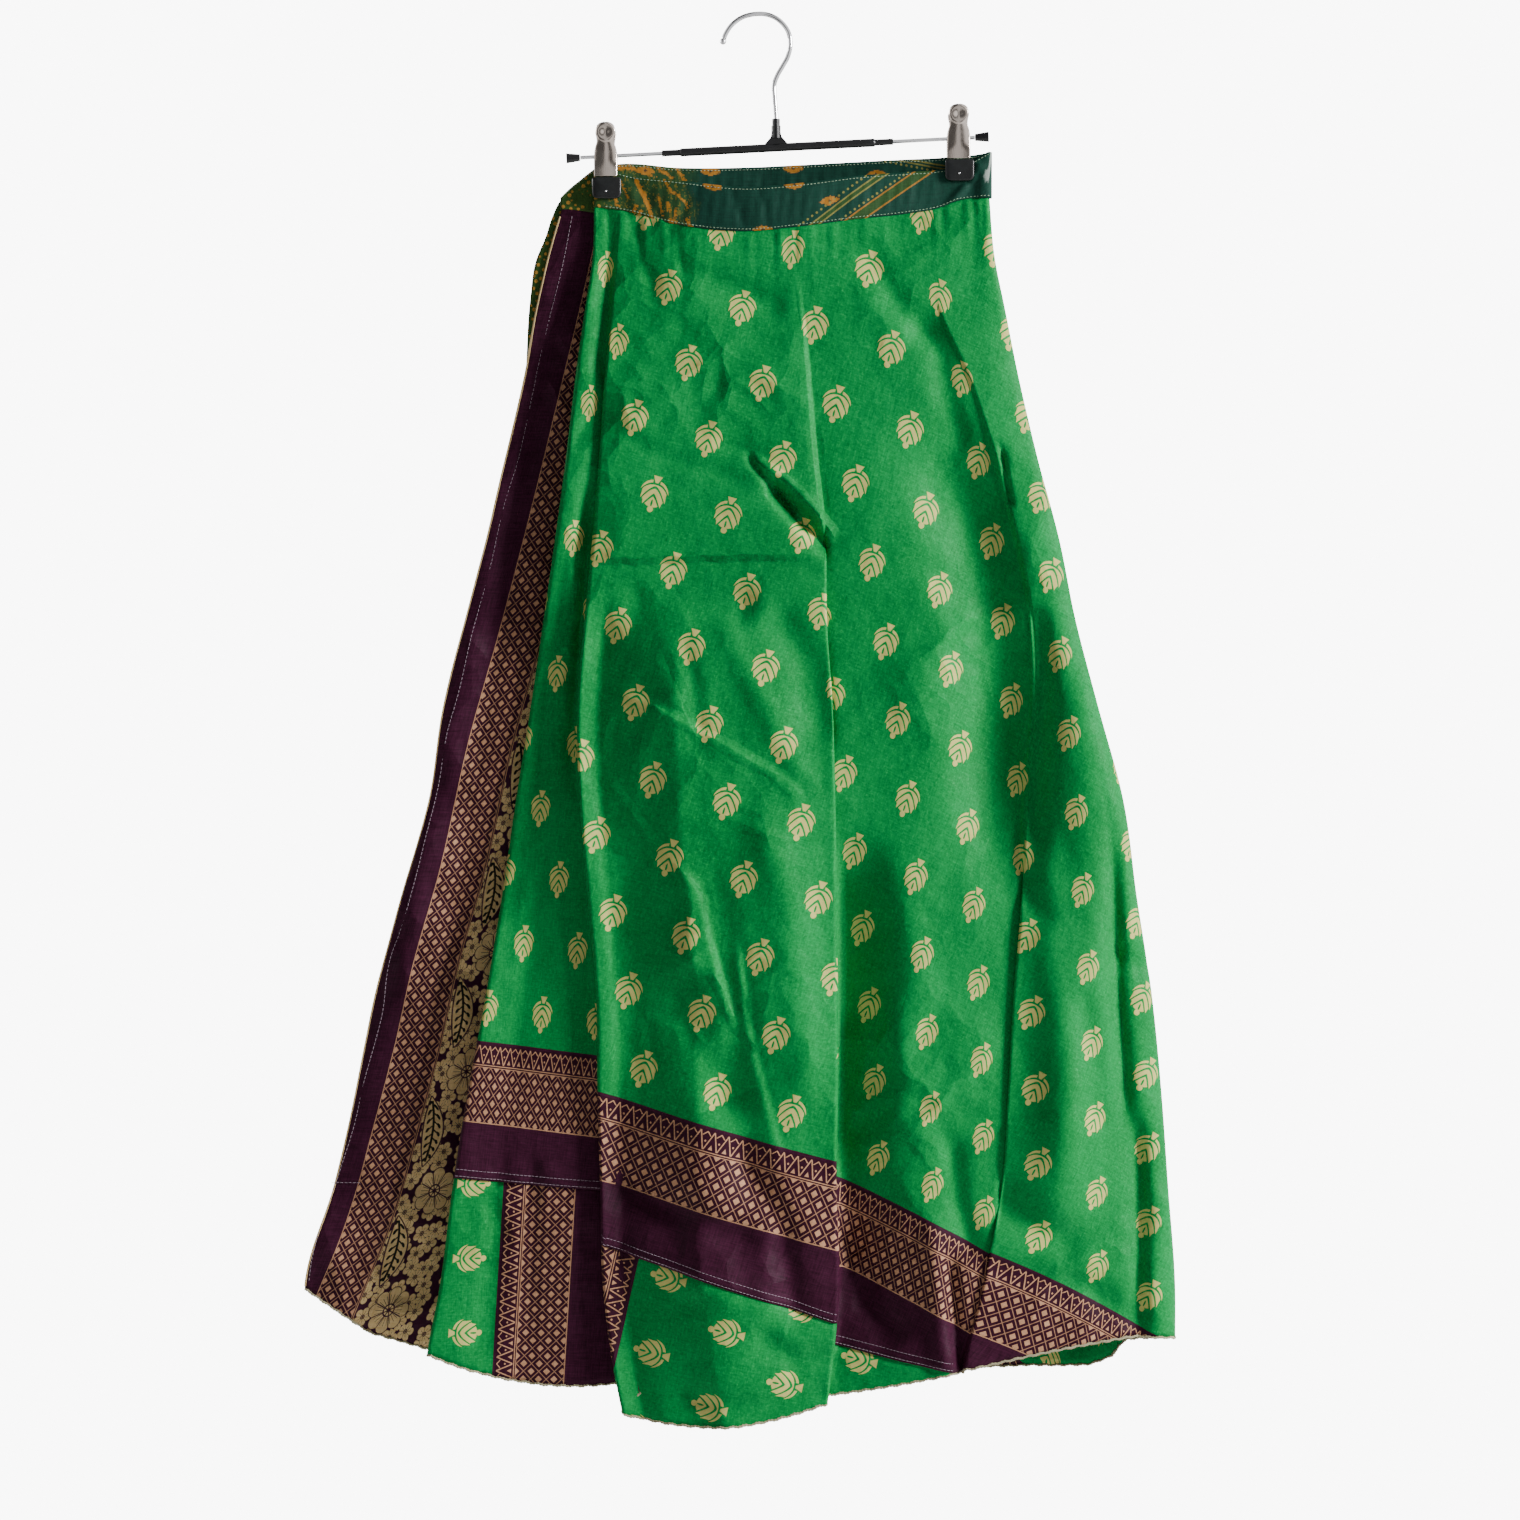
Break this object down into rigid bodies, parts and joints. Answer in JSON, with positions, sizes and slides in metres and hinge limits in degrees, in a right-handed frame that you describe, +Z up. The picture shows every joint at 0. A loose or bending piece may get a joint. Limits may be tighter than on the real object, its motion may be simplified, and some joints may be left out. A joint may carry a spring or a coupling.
{
  "type": "wrap skirt on clip hanger",
  "caption": "Long flared wrap skirt of patterned silk with woven border, pleats, waistband and ties, hung by its waistband from a clip hanger.",
  "frame": {"origin": "where the inner top of the hanger's hook rests on a rail", "axes": "+Z up, +X to the right across the skirt, +Y from the shown side to the hidden side"},
  "size_m": [0.6333, 0.0662, 1.0226],
  "materials": {
    "green_silk": "satin",
    "plum_silk": "satin",
    "band_cotton": "matte",
    "chromed_wire": "polished",
    "plated_clip": "polished",
    "black_plastic": "satin",
    "black_rubber": "matte"
  },
  "bodies": {
    "root": {"front_panel": "green_silk", "front_lower_panel": "green_silk", "back_panel": "green_silk", "wrap_edge_panel": "plum_silk", "waistband": "band_cotton", "tie_outer": "band_cotton", "tie_inner": "band_cotton", "hook": "chromed_wire", "bar_wire": "chromed_wire", "bar_sleeve": "black_plastic", "end_cap_left": "black_plastic", "end_cap_right": "black_plastic", "clip_left_front_jaw": "plated_clip", "clip_left_back_jaw": "plated_clip", "clip_left_spring": "plated_clip", "clip_left_front_pad": "black_rubber", "clip_left_back_pad": "black_rubber", "clip_right_front_jaw": "plated_clip", "clip_right_back_jaw": "plated_clip", "clip_right_spring": "plated_clip", "clip_right_front_pad": "black_rubber", "clip_right_back_pad": "black_rubber"}
  },
  "joints": []
}
